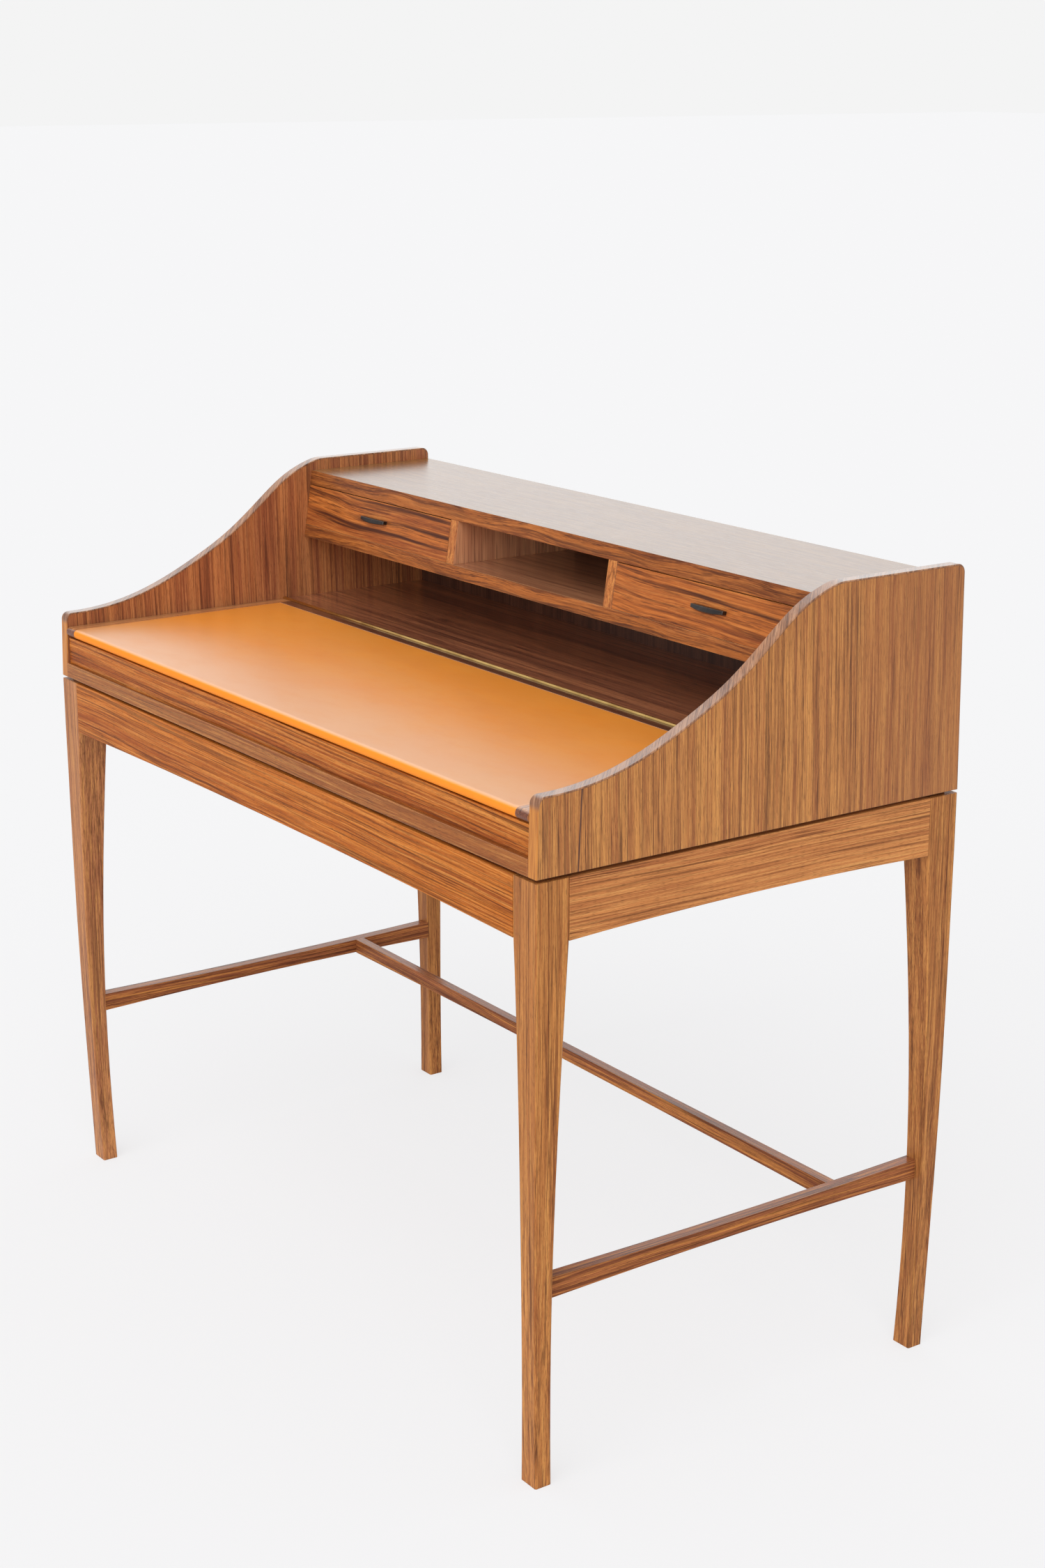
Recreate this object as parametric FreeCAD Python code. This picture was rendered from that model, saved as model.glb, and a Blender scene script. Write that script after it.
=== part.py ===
import FreeCAD, Part
import math
import os

# S-sided writing desk: a leg frame, a case with a hinged leather lid, and a raked gallery with two drawers.
# Millimetres. X runs across the desk, -Y is the sitter's side and Z is up.
# The origin is on the floor, below the middle of the desk.

os.makedirs("parts", exist_ok=True)

# Overall sizes and common clearances
desk_width = 1060.0
desk_depth = 560.0
overrun = 2.0
fit_gap = 0.1
running_gap = 0.3
arris = 0.8
screw_sides = 10

# Legs: square beside the aprons, drawn in and slimmer below
leg_height = 665.0
leg_side = 40.0
leg_arris = 1.2
foot_inset_across = 11.0
foot_inset_along = 6.8
leg_station_shares = (0.0, 0.25, 0.5, 0.75, 1.0)
inset_across_shares = (1.0, 0.66, 0.32, 0.13, 0.0)
inset_along_shares = (1.0, 0.48, 0.14, 0.02, 0.0)
width_across_shares = (0.66, 0.61, 0.675, 0.795, 1.0)
width_along_shares = (0.50, 0.525, 0.615, 0.785, 1.0)

# Aprons, flush with the legs, arched below
apron_height = 65.0
apron_thickness = 20.0
apron_arch = 5.5
apron_tenon_length = 18.0
apron_tenon_thickness = 9.0
apron_tenon_shoulder = 9.0

# Stretchers: two at the sides and a long one between them, all waisted
stretcher_level = 222.4
stretcher_height = 23.0
stretcher_thickness = 15.0
stretcher_setback = 15.5
stretcher_waist_below = 3.5
stretcher_waist_above = 2.6
stretcher_tenon_thickness = 8.0
stretcher_tenon_height = 13.0
stretcher_tenon_wall = 11.0
long_stretcher_place = 140.8
long_stretcher_thickness = 12.5
long_stretcher_height = 19.5
long_waist_below = 3.2
long_waist_above = 0.8
long_tenon_length = 9.0
long_tenon_thickness = 7.0
long_tenon_height = 11.0

# Shadow gap between the leg frame and the case
shadow_gap = 4.0
batten_inset = 10.0
batten_width = 18.0
case_screw_count = 2
case_screw_spacing = 600.0
case_screw_radius = 2.2
case_screw_head_radius = 4.5
case_screw_head_height = 3.0
case_screw_grip = 12.0
counterbore_radius = 5.2
counterbore_depth = 32.0

# Side panels with the S outline
panel_thickness = 15.0
panel_upstand = 15.0
shoulder_upstand = 17.4
front_lean = 2.5
back_lean = 4.0
front_corner_radius = 9.0
back_corner_radius = 10.0
curve_start_setback = 18.0
curve_end_setback = 18.5
curve_run_shares = (0.07, 0.20, 0.334, 0.47, 0.608, 0.748, 0.857, 0.938)
curve_rise_shares = (0.007, 0.054, 0.151, 0.291, 0.465, 0.704, 0.886, 0.970)
band_thickness = 1.5
housing_depth = 5.0
housing_margin = 9.0

# Case boards
bottom_thickness = 18.0
bottom_tongue = 6.0
front_board_setback = 4.0
front_board_thickness = 14.0
front_board_end_gap = 2.0
front_board_tongue = 8.0
front_board_tongue_drop = 5.0
front_board_foot = 5.0
lid_shadow = 1.5
back_thickness = 10.0
back_setback = 6.0
back_tongue = 6.0
rear_desk_thickness = 18.0
rear_desk_tongue = 8.0
rest_width = 10.0
rest_height = 12.0

# Lid
lid_rise = 65.0
lid_thickness = 12.0
lid_side_gap = 1.0
lid_nose_setback = 1.0
lid_end_width = 21.0
lid_tongue_thickness = 4.0
lid_tongue_depth = 4.0
leather_thickness = 1.5
leather_tuck = 11.0
rear_rail_width = 16.75

# Piano hinge on the lid's rear edge
hinge_setback = 322.0
knuckle_radius = 2.5
knuckle_count = 9
knuckle_gap = 0.3
pin_radius = 1.0
pin_fit = 0.03
pin_play = 0.06
leaf_thickness = 1.0
leaf_gap = 0.5
leaf_margin = 0.7
barrel_clearance = 0.4
hinge_screw_radius = 1.3
hinge_screw_head_radius = 2.4
hinge_screw_length = 11.0

# Gallery with its raked front
gallery_depth = 188.5
gallery_rake_degrees = 9.1
gallery_clear_height = 81.5
shelf_thickness = 16.0
shelf_tongue = 7.0
gallery_opening = 53.5
gallery_top_thickness = 18.0
gallery_top_tongue = 8.0
gallery_top_setback = 4.5
divider_thickness = 16.0
pigeonhole_width = 309.0
divider_tenon = 4.0
divider_tenon_thickness = 8.0
divider_tenon_margin = 12.0

# Drawers
drawer_side_gap = 0.8
drawer_top_gap = 1.1
drawer_front_thickness = 14.0
drawer_wall = 9.0
drawer_side_height = 45.0
drawer_back_drop = 3.0
drawer_back_overhang = 5.0
drawer_bottom_thickness = 4.0
drawer_bottom_rise = 4.0
drawer_groove_depth = 4.0
tail_count = 2
tail_length = 9.0
tail_root_share = 0.46
tail_tip_share = 0.62

# Pulls
pull_length = 55.0
pull_end_height = 4.2
pull_mid_height = 6.2
pull_end_depth = 6.0
pull_mid_depth = 8.0
pull_arris = 0.6
pull_rise = 28.0
pull_screw_spacing = 36.0
pull_screw_radius = 1.2
pull_screw_head_radius = 2.6
pull_screw_head_height = 1.5
pull_screw_grip = 4.0

# Places that several pieces share
half_width = desk_width / 2
half_depth = desk_depth / 2
apron_bottom = leg_height - apron_height
case_base = leg_height + shadow_gap
bottom_top = case_base + bottom_thickness
panel_inner = half_width - panel_thickness
stretcher_outer = half_width - stretcher_setback
stretcher_inner = stretcher_outer - stretcher_thickness
back_rear = half_depth - back_setback
back_front = back_rear - back_thickness

lid_top = case_base + lid_rise
lid_bottom = lid_top - lid_thickness
lid_half = panel_inner - lid_side_gap
lid_core_half = lid_half - lid_end_width
lid_nose = -half_depth + lid_nose_setback
lid_nose_radius = lid_thickness / 2
hinge_place = -half_depth + hinge_setback
lid_back = hinge_place - leaf_gap / 2 - leaf_thickness
leather_rear = lid_back - rear_rail_width
barrel_room = knuckle_radius + barrel_clearance
leaf_bottom = lid_bottom + leaf_margin
leaf_height = lid_top - barrel_room - leaf_bottom
desk_front = hinge_place + leaf_gap / 2 + leaf_thickness
desk_bottom = lid_top - rear_desk_thickness
front_board_face = -half_depth + front_board_setback
front_board_back = front_board_face + front_board_thickness
front_board_top = lid_bottom - lid_shadow

rake = math.tan(math.radians(gallery_rake_degrees))
gallery_front = back_front - gallery_depth
shelf_level = lid_top + gallery_clear_height
shelf_top = shelf_level + shelf_thickness
gallery_ceiling = shelf_top + gallery_opening
gallery_top_level = gallery_ceiling + gallery_top_thickness
divider_inner = pigeonhole_width / 2
divider_outer = divider_inner + divider_thickness
panel_top = gallery_top_level + panel_upstand
shoulder = lid_top + shoulder_upstand
drawer_floor = shelf_top + running_gap
drawer_inner = divider_outer + drawer_side_gap
drawer_outer = panel_inner - drawer_side_gap
drawer_top = gallery_ceiling - drawer_top_gap
drawer_rear = back_front - running_gap

upwards = FreeCAD.Vector(0, 0, 1)


def block(low, high):
    size = [b - a for a, b in zip(low, high)]
    return Part.makeBox(*size, FreeCAD.Vector(*low))


def grown(low, high, gap):
    return [v - gap for v in low], [v + gap for v in high]


def at_yz(y, z):
    return FreeCAD.Vector(0, y, z)


def at_xz(x, z):
    return FreeCAD.Vector(x, 0, z)


def line(start, end):
    return Part.makeLine(start, end)


def arc(start, middle, end):
    return Part.Arc(start, middle, end).toShape()


def closed(points):
    return [line(a, b) for a, b in zip(points, points[1:] + points[:1])]


def along_x(edges, low, high):
    face = Part.Face(Part.Wire(edges))
    face.translate(FreeCAD.Vector(low, 0, 0))
    return face.extrude(FreeCAD.Vector(high - low, 0, 0))


def along_y(edges, low, high):
    face = Part.Face(Part.Wire(edges))
    face.translate(FreeCAD.Vector(0, low, 0))
    return face.extrude(FreeCAD.Vector(0, high - low, 0))


def level_curve(points):
    # a smooth curve through points that starts and ends level along the desk's depth
    level = FreeCAD.Vector(0, 1, 0)
    curve = Part.BSplineCurve()
    curve.interpolate(Points=points, InitialTangent=level, FinalTangent=level, Scale=False)
    return curve


def mirrored_x(shape):
    return shape.mirror(FreeCAD.Vector(0, 0, 0), FreeCAD.Vector(1, 0, 0))


def mirrored_y(shape):
    return shape.mirror(FreeCAD.Vector(0, 0, 0), FreeCAD.Vector(0, 1, 0))


def both_sides(shape):
    return [shape, mirrored_x(shape)]


def screw_ring(radius, centre, way):
    # the outline of a screw's shank or head, square to its way
    side = way.cross(FreeCAD.Vector(1, 1, 1)).normalize()
    up = way.cross(side)
    turns = [math.tau * i / screw_sides for i in range(screw_sides)]
    points = [centre + side * (radius * math.cos(t)) + up * (radius * math.sin(t)) for t in turns]
    return Part.makePolygon(points + points[:1])


def shank(radius, length, start, way):
    return Part.Face(screw_ring(radius, start, way)).extrude(way * length)


def countersink(start, way):
    # a hinge screw's head, from the leaf's face down to its shank
    rings = [screw_ring(hinge_screw_head_radius, start, way),
             screw_ring(hinge_screw_radius, start + way * leaf_thickness, way)]
    return Part.makeLoft(rings, True, True)


def rounded_corner(before, corner, after, radius):
    # start, middle and end of the arc that rounds a corner
    first = (before - corner).normalize()
    second = (after - corner).normalize()
    half_angle = first.getAngle(second) / 2
    middle_way = (first + second).normalize()
    reach = radius / math.tan(half_angle)
    centre = corner + middle_way * (radius / math.sin(half_angle))
    return corner + first * reach, centre - middle_way * radius, corner + second * reach


# Leg frame


def leg_section(level, outer_x, outer_y, width_x, width_y):
    # a rectangle with its four corners taken off
    inner_x = outer_x - width_x
    inner_y = outer_y - width_y
    corners = [(inner_x, inner_y), (outer_x, inner_y), (outer_x, outer_y), (inner_x, outer_y)]
    points = []
    for i, (x, y) in enumerate(corners):
        before = FreeCAD.Vector(*corners[i - 1], level)
        after = FreeCAD.Vector(*corners[(i + 1) % len(corners)], level)
        corner = FreeCAD.Vector(x, y, level)
        points.append(corner + (before - corner).normalize() * leg_arris)
        points.append(corner + (after - corner).normalize() * leg_arris)
    return Part.Wire(closed(points))


def leg_blank():
    # the back right leg: one smooth skin up to the aprons, then a square block
    sections = []
    insets = zip(inset_across_shares, inset_along_shares)
    widths = zip(width_across_shares, width_along_shares)
    for station, (inset_x, inset_y), (width_x, width_y) in zip(leg_station_shares, insets, widths):
        sections.append(leg_section(
            apron_bottom * station,
            half_width - foot_inset_across * inset_x,
            half_depth - foot_inset_along * inset_y,
            leg_side * width_x,
            leg_side * width_y,
        ))
    lower = Part.makeLoft(sections, True)
    upper = Part.Face(sections[-1]).extrude(FreeCAD.Vector(0, 0, apron_height))
    return lower.fuse(upper).removeSplitter()


def apron_tenon_across():
    middle = half_depth - apron_thickness / 2
    root = half_width - leg_side
    return (
        [root, middle - apron_tenon_thickness / 2, apron_bottom + apron_tenon_shoulder],
        [root + apron_tenon_length, middle + apron_tenon_thickness / 2, leg_height - apron_tenon_shoulder],
    )


def apron_tenon_along():
    middle = half_width - apron_thickness / 2
    root = half_depth - leg_side
    return (
        [middle - apron_tenon_thickness / 2, root, apron_bottom + apron_tenon_shoulder],
        [middle + apron_tenon_thickness / 2, root + apron_tenon_length, leg_height - apron_tenon_shoulder],
    )


def stretcher_tenon():
    middle = (stretcher_inner + stretcher_outer) / 2
    return (
        [middle - stretcher_tenon_thickness / 2, half_depth - leg_side,
         stretcher_level - stretcher_tenon_height / 2],
        [middle + stretcher_tenon_thickness / 2, half_depth - stretcher_tenon_wall,
         stretcher_level + stretcher_tenon_height / 2],
    )


def leg():
    shape = leg_blank()
    for low, high in (apron_tenon_across(), apron_tenon_along(), stretcher_tenon()):
        shape = shape.cut(block(*grown(low, high, fit_gap)))
    return shape


def apron_outline(place, half_length):
    # straight top, arched lower edge
    return [
        arc(place(-half_length, apron_bottom), place(0, apron_bottom + apron_arch),
            place(half_length, apron_bottom)),
        line(place(half_length, apron_bottom), place(half_length, leg_height)),
        line(place(half_length, leg_height), place(-half_length, leg_height)),
        line(place(-half_length, leg_height), place(-half_length, apron_bottom)),
    ]


def case_screw_places():
    # midway between the batten's outer edge and the apron's inner face
    first = -case_screw_spacing * (case_screw_count - 1) / 2
    y = half_depth - (batten_inset + apron_thickness) / 2
    return [(first + case_screw_spacing * i, y) for i in range(case_screw_count)]


def apron_across():
    # the back apron; the front one mirrors it
    outline = apron_outline(at_xz, half_width - leg_side)
    shape = along_y(outline, half_depth - apron_thickness, half_depth)
    tenon = block(*apron_tenon_across())
    shape = shape.fuse(both_sides(tenon)).removeSplitter()
    for x, y in case_screw_places():
        below = FreeCAD.Vector(x, y, apron_bottom - overrun)
        shape = shape.cut(Part.makeCylinder(counterbore_radius, counterbore_depth + overrun, below))
        shape = shape.cut(shank(case_screw_radius + fit_gap, apron_height + overrun * 2, below, upwards))
    return shape


def apron_along():
    # the right apron; the left one mirrors it
    outline = apron_outline(at_yz, half_depth - leg_side)
    shape = along_x(outline, half_width - apron_thickness, half_width)
    tenon = block(*apron_tenon_along())
    return shape.fuse([tenon, mirrored_y(tenon)]).removeSplitter()


def waisted_outline(place, half_length, height, below, above):
    low = stretcher_level - height / 2
    high = stretcher_level + height / 2
    return [
        arc(place(-half_length, low), place(0, low + below), place(half_length, low)),
        line(place(half_length, low), place(half_length, high)),
        arc(place(half_length, high), place(0, high - above), place(-half_length, high)),
        line(place(-half_length, high), place(-half_length, low)),
    ]


def long_tenon():
    return (
        [stretcher_inner - overrun, long_stretcher_place - long_tenon_thickness / 2,
         stretcher_level - long_tenon_height / 2],
        [stretcher_inner + long_tenon_length, long_stretcher_place + long_tenon_thickness / 2,
         stretcher_level + long_tenon_height / 2],
    )


def side_stretcher():
    # runs into both right legs and is scribed to their curved faces
    outline = waisted_outline(at_yz, half_depth - leg_side / 2, stretcher_height,
                              stretcher_waist_below, stretcher_waist_above)
    shape = along_x(outline, stretcher_inner, stretcher_outer)
    blank = leg_blank()
    shape = shape.cut([blank, mirrored_y(blank)])
    tenon = block(*stretcher_tenon())
    shape = shape.fuse([tenon, mirrored_y(tenon)]).removeSplitter()
    return shape.cut(block(*grown(*long_tenon(), fit_gap)))


def long_stretcher():
    outline = waisted_outline(at_xz, stretcher_inner, long_stretcher_height,
                              long_waist_below, long_waist_above)
    low = long_stretcher_place - long_stretcher_thickness / 2
    shape = along_y(outline, low, low + long_stretcher_thickness)
    return shape.fuse(both_sides(block(*long_tenon()))).removeSplitter()


# Shadow gap


def batten_across():
    edge = half_depth - batten_inset
    side = half_width - batten_inset
    shape = block([-side, edge - batten_width, leg_height], [side, edge, case_base])
    for x, y in case_screw_places():
        below = FreeCAD.Vector(x, y, leg_height - overrun)
        shape = shape.cut(shank(case_screw_radius + fit_gap, shadow_gap + overrun * 2, below, upwards))
    return shape


def batten_along():
    edge = half_width - batten_inset
    end = half_depth - batten_inset - batten_width
    return block([edge - batten_width, -end, leg_height], [edge, end, case_base])


def case_screw(x, y):
    seat = apron_bottom + counterbore_depth
    under = FreeCAD.Vector(x, y, seat - case_screw_head_height)
    head = shank(case_screw_head_radius, case_screw_head_height, under, upwards)
    reach = case_base + case_screw_grip - seat
    return head.fuse(shank(case_screw_radius, reach, FreeCAD.Vector(x, y, seat), upwards)).removeSplitter()


def case_screws():
    back = [case_screw(x, y) for x, y in case_screw_places()]
    return Part.makeCompound(back + [mirrored_y(s) for s in back])


# Side panels


def s_curve(inset):
    # from the low front shoulder up to the flat top, drawn in by inset along its normal
    start = -half_depth + curve_start_setback
    run = raked(gallery_top_level) + curve_end_setback - start
    rise = panel_top - shoulder
    points = [at_yz(start, shoulder)]
    for along, up in zip(curve_run_shares, curve_rise_shares):
        points.append(at_yz(start + run * along, shoulder + rise * up))
    points.append(at_yz(start + run, panel_top))
    curve = level_curve(points)
    ways = [curve.tangent(curve.parameter(point))[0] for point in points]
    points = [point + FreeCAD.Vector(0, way.z, -way.y) * inset for point, way in zip(points, ways)]
    return points, level_curve(points).toShape()


def panel_outline(inset):
    points, curve = s_curve(inset)
    front_foot = at_yz(-half_depth + inset, case_base)
    front_corner = at_yz(-half_depth + front_lean + inset, shoulder - inset)
    back_corner = at_yz(half_depth - back_lean - inset, panel_top - inset)
    back_foot = at_yz(half_depth - inset, case_base)
    front = rounded_corner(front_foot, front_corner, points[0], front_corner_radius - inset)
    back = rounded_corner(points[-1], back_corner, back_foot, back_corner_radius - inset)
    return [
        line(front_foot, front[0]),
        arc(*front),
        line(front[2], points[0]),
        curve,
        line(points[-1], back[0]),
        arc(*back),
        line(back[2], back_foot),
        line(back_foot, front_foot),
    ]


def housings():
    # where the right panel takes the boards' tongues: low and high corners
    near = panel_inner - overrun
    far = panel_inner + housing_depth
    middle_of_bottom = case_base + bottom_thickness / 2
    middle_of_desk = lid_top - rear_desk_thickness / 2
    middle_of_shelf = shelf_level + shelf_thickness / 2
    middle_of_top = gallery_ceiling + gallery_top_thickness / 2
    middle_of_back = back_rear - back_thickness / 2
    desk_line = desk_front + housing_margin
    shelf_line = raked(shelf_top) + housing_margin
    top_line = raked(gallery_top_level) + housing_margin
    rear_line = back_front - housing_margin
    rows = {
        "bottom": (-half_depth + housing_margin, back_front, middle_of_bottom, bottom_tongue),
        "rear_desk": (desk_line, rear_line, middle_of_desk, rear_desk_tongue),
        "shelf": (shelf_line, rear_line, middle_of_shelf, shelf_tongue),
        "top": (top_line, back_front, middle_of_top, gallery_top_tongue),
    }
    boxes = {}
    for name, (front, rear, middle, thickness) in rows.items():
        boxes[name] = ([near, front, middle - thickness / 2], [far, rear, middle + thickness / 2])
    boxes["back"] = ([near, middle_of_back - back_tongue / 2, bottom_top],
                     [far, middle_of_back + back_tongue / 2, gallery_ceiling])
    boxes["front_board"] = ([near - front_board_end_gap, front_board_back - front_board_tongue, bottom_top],
                            [far, front_board_back, front_board_top - front_board_tongue_drop])
    return boxes


def panel_wire(inset, x):
    wire = Part.Wire(panel_outline(inset))
    wire.translate(FreeCAD.Vector(x, 0, 0))
    return wire


def side_band():
    # the lipping that runs round the panel, its arrises taken off
    sections = [panel_wire(arris, panel_inner), panel_wire(0, panel_inner + arris),
                panel_wire(0, half_width - arris), panel_wire(arris, half_width)]
    blank = Part.makeLoft(sections, True, True)
    return blank.cut(along_x(panel_outline(band_thickness), panel_inner - overrun, half_width + overrun))


def side_panel():
    shape = along_x(panel_outline(band_thickness), panel_inner, half_width)
    for low, high in housings().values():
        shape = shape.cut(block(*grown(low, high, fit_gap)))
    return shape


# Case boards


def with_tongues(shape, name):
    return shape.fuse(both_sides(block(*housings()[name]))).removeSplitter()


def front_board_groove():
    middle = front_board_back - front_board_tongue / 2
    half = bottom_tongue / 2
    return ([-panel_inner + housing_margin, middle - half, bottom_top - front_board_foot],
            [panel_inner - housing_margin, middle + half, bottom_top])


def case_bottom():
    shape = block([-panel_inner, -half_depth, case_base], [panel_inner, back_rear, bottom_top])
    shape = with_tongues(shape, "bottom")
    low, high = grown(*front_board_groove(), fit_gap)
    shape = shape.cut(block(low, high))
    for x, y in case_screw_places():
        below = FreeCAD.Vector(x, y, case_base - overrun)
        hole = shank(case_screw_radius + fit_gap, case_screw_grip + overrun + fit_gap, below, upwards)
        shape = shape.cut([hole, mirrored_y(hole)])
    return shape


def front_board():
    # seated on the bottom with a foot in its groove, tongued into the sides behind a shadow gap
    end = panel_inner - front_board_end_gap
    shape = block([-end, front_board_face, bottom_top], [end, front_board_back, front_board_top])
    shape = with_tongues(shape, "front_board")
    return shape.fuse(block(*front_board_groove())).removeSplitter()


def lid_rest():
    # the strip on the right panel that carries the closed lid
    top = lid_bottom - running_gap
    rear = lid_back - housing_margin
    return block([panel_inner - rest_width, front_board_back, top - rest_height], [panel_inner, rear, top])


def hinge_relief(front):
    # room for the hinge barrel at the top corner of a board that meets the hinge line
    reach = hinge_place - barrel_room if front else hinge_place
    end = hinge_place if front else hinge_place + barrel_room
    return block([-half_width, reach, lid_top - barrel_room], [half_width, end, lid_top + overrun])


def rear_desk():
    shape = block([-panel_inner, desk_front, desk_bottom], [panel_inner, back_front, lid_top])
    shape = with_tongues(shape, "rear_desk").cut(hinge_relief(False))
    return shape.cut([hinge_screw_hole(x, 1) for x in hinge_screw_places(0)])


def back_panel():
    shape = block([-panel_inner, back_front, bottom_top], [panel_inner, back_rear, gallery_ceiling])
    return with_tongues(shape, "back")


# Gallery


def raked(level):
    return gallery_front + (level - shelf_level) * rake


def raked_board(low, high, rear):
    outline = closed([at_yz(raked(low), low), at_yz(rear, low), at_yz(rear, high), at_yz(raked(high), high)])
    return along_x(outline, -panel_inner, panel_inner)


def divider_tenons():
    middle = divider_inner + divider_thickness / 2
    half = divider_tenon_thickness / 2
    front = raked(gallery_ceiling) + divider_tenon_margin
    rear = back_front - divider_tenon_margin
    return [
        ([middle - half, front, shelf_top - divider_tenon], [middle + half, rear, shelf_top]),
        ([middle - half, front, gallery_ceiling], [middle + half, rear, gallery_ceiling + divider_tenon]),
    ]


def cut_divider_mortises(shape, tenon):
    mortise = block(*grown(*tenon, fit_gap))
    return shape.cut(both_sides(mortise))


def gallery_shelf():
    shape = with_tongues(raked_board(shelf_level, shelf_top, back_front), "shelf")
    return cut_divider_mortises(shape, divider_tenons()[0])


def gallery_top():
    rear = half_depth - gallery_top_setback
    shape = with_tongues(raked_board(gallery_ceiling, gallery_top_level, rear), "top")
    return cut_divider_mortises(shape, divider_tenons()[1])


def divider():
    outline = closed([at_yz(raked(shelf_top), shelf_top), at_yz(back_front, shelf_top),
                      at_yz(back_front, gallery_ceiling), at_yz(raked(gallery_ceiling), gallery_ceiling)])
    shape = along_x(outline, divider_inner, divider_outer)
    return shape.fuse([block(*t) for t in divider_tenons()]).removeSplitter()


# Lid


def lid_profile(inset, rear, front_cut=0):
    # half-round nose, drawn in by inset above, in front and below
    radius = lid_nose_radius - inset
    centre = lid_nose + lid_nose_radius
    middle = lid_bottom + lid_nose_radius
    top = lid_top - inset
    low = lid_bottom + inset
    edges = [line(at_yz(rear, top), at_yz(centre, top)),
             arc(at_yz(centre, top), at_yz(centre - radius, middle), at_yz(centre, low))]
    corner = at_yz(centre + front_cut, low)
    if front_cut:
        edges.append(line(at_yz(centre, low), corner))
        edges.append(line(corner, at_yz(centre + front_cut, lid_bottom)))
        corner = at_yz(centre + front_cut, lid_bottom)
    edges.append(line(corner, at_yz(rear, lid_bottom)))
    edges.append(line(at_yz(rear, lid_bottom), at_yz(rear, top)))
    return edges


def lid_tongue_levels():
    middle = (lid_top - leather_thickness + lid_bottom) / 2
    return middle - lid_tongue_thickness / 2, middle + lid_tongue_thickness / 2


def lid_end_tongue(gap):
    # the core's and rear rail's tongue in the right end lipping
    low, high = lid_tongue_levels()
    front = lid_nose + lid_nose_radius + leather_tuck
    return block([lid_core_half - overrun, front - gap, low - gap],
                 [lid_core_half + lid_tongue_depth + gap, lid_back - lid_tongue_depth + gap, high + gap])


def lid_rear_tongue(gap):
    low, high = lid_tongue_levels()
    return block([-lid_core_half - gap, leather_rear - overrun, low - gap],
                 [lid_core_half + gap, leather_rear + lid_tongue_depth + gap, high + gap])


def lid_core():
    shape = along_x(lid_profile(leather_thickness, leather_rear, leather_tuck), -lid_core_half, lid_core_half)
    ends = lid_end_tongue(0).common(block([0, -half_depth, 0], [half_width, leather_rear, panel_top]))
    shape = shape.fuse(both_sides(ends) + [lid_rear_tongue(0)])
    return shape.removeSplitter()


def lid_leather():
    # one hide over the top, round the nose and tucked under the front
    whole = along_x(lid_profile(0, leather_rear), -lid_core_half, lid_core_half)
    below = lid_profile(leather_thickness, leather_rear + overrun, leather_tuck)
    return whole.cut(along_x(below, -half_width, half_width))


def lid_end():
    shape = along_x(lid_profile(0, lid_back), lid_core_half, lid_half)
    return shape.cut(lid_end_tongue(fit_gap)).cut(hinge_relief(True))


def lid_rear_rail():
    shape = block([-lid_core_half, leather_rear, lid_bottom], [lid_core_half, lid_back, lid_top])
    shape = shape.cut(lid_rear_tongue(fit_gap)).cut(hinge_relief(True))
    ends = lid_end_tongue(0).common(block([0, leather_rear + lid_tongue_depth * 2, 0],
                                          [half_width, half_depth, panel_top]))
    shape = shape.fuse(both_sides(ends)).removeSplitter()
    return shape.cut([hinge_screw_hole(x, -1) for x in hinge_screw_places(1)])


# Piano hinge


def knuckle_pitch():
    return lid_half * 2 / knuckle_count


def knuckle_places(turn):
    # middles of the knuckles: turn 0 is on the fixed leaf, turn 1 on the lid's
    pitch = knuckle_pitch()
    return [-lid_half + pitch * (i + 1 / 2) for i in range(turn, knuckle_count, 2)]


def hinge_screw_places(turn):
    return knuckle_places(turn)


def hinge_screw_level():
    return leaf_bottom + leaf_height / 2


def hinge_screw_hole(x, way):
    seat = FreeCAD.Vector(x, hinge_place + way * leaf_gap / 2, hinge_screw_level())
    return shank(hinge_screw_radius + fit_gap, hinge_screw_length + fit_gap, seat, FreeCAD.Vector(0, way, 0))


def hinge_screw(x, way):
    # countersunk flush in the leaf
    seat = FreeCAD.Vector(x, hinge_place + way * leaf_gap / 2, hinge_screw_level())
    inwards = FreeCAD.Vector(0, way, 0)
    neck = seat + inwards * leaf_thickness
    stem = shank(hinge_screw_radius, hinge_screw_length - leaf_thickness, neck, inwards)
    return countersink(seat, inwards).fuse(stem).removeSplitter()


def hinge_screws(turn, way):
    return Part.makeCompound([hinge_screw(x, way) for x in hinge_screw_places(turn)])


def hinge_leaf(turn, way, bore_gap):
    near = hinge_place + way * leaf_gap / 2
    far = near + way * leaf_thickness
    low_y, high_y = sorted((near, far))
    shape = block([-lid_half, low_y, leaf_bottom], [lid_half, high_y, leaf_bottom + leaf_height])
    across = FreeCAD.Vector(1, 0, 0)
    length = knuckle_pitch() - knuckle_gap
    added = []
    bores = []
    for x in knuckle_places(turn):
        start = x - length / 2
        tab = block([start, low_y, leaf_bottom], [start + length, high_y, lid_top])
        axis = FreeCAD.Vector(start, hinge_place, lid_top)
        added += [tab, Part.makeCylinder(knuckle_radius, length, axis, across)]
        bores.append(Part.makeCylinder(pin_radius + bore_gap, length + overrun * 2,
                                       axis - across * overrun, across))
    shape = shape.fuse(added).removeSplitter().cut(bores)
    heads = []
    for x in hinge_screw_places(turn):
        seat = FreeCAD.Vector(x, near, hinge_screw_level())
        heads.append(countersink(seat, FreeCAD.Vector(0, way, 0)))
    return shape.cut(heads)


def hinge_pin():
    return Part.makeCylinder(pin_radius, lid_half * 2, FreeCAD.Vector(-lid_half, hinge_place, lid_top),
                             FreeCAD.Vector(1, 0, 0))


# Drawers, drawn on the right


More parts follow.
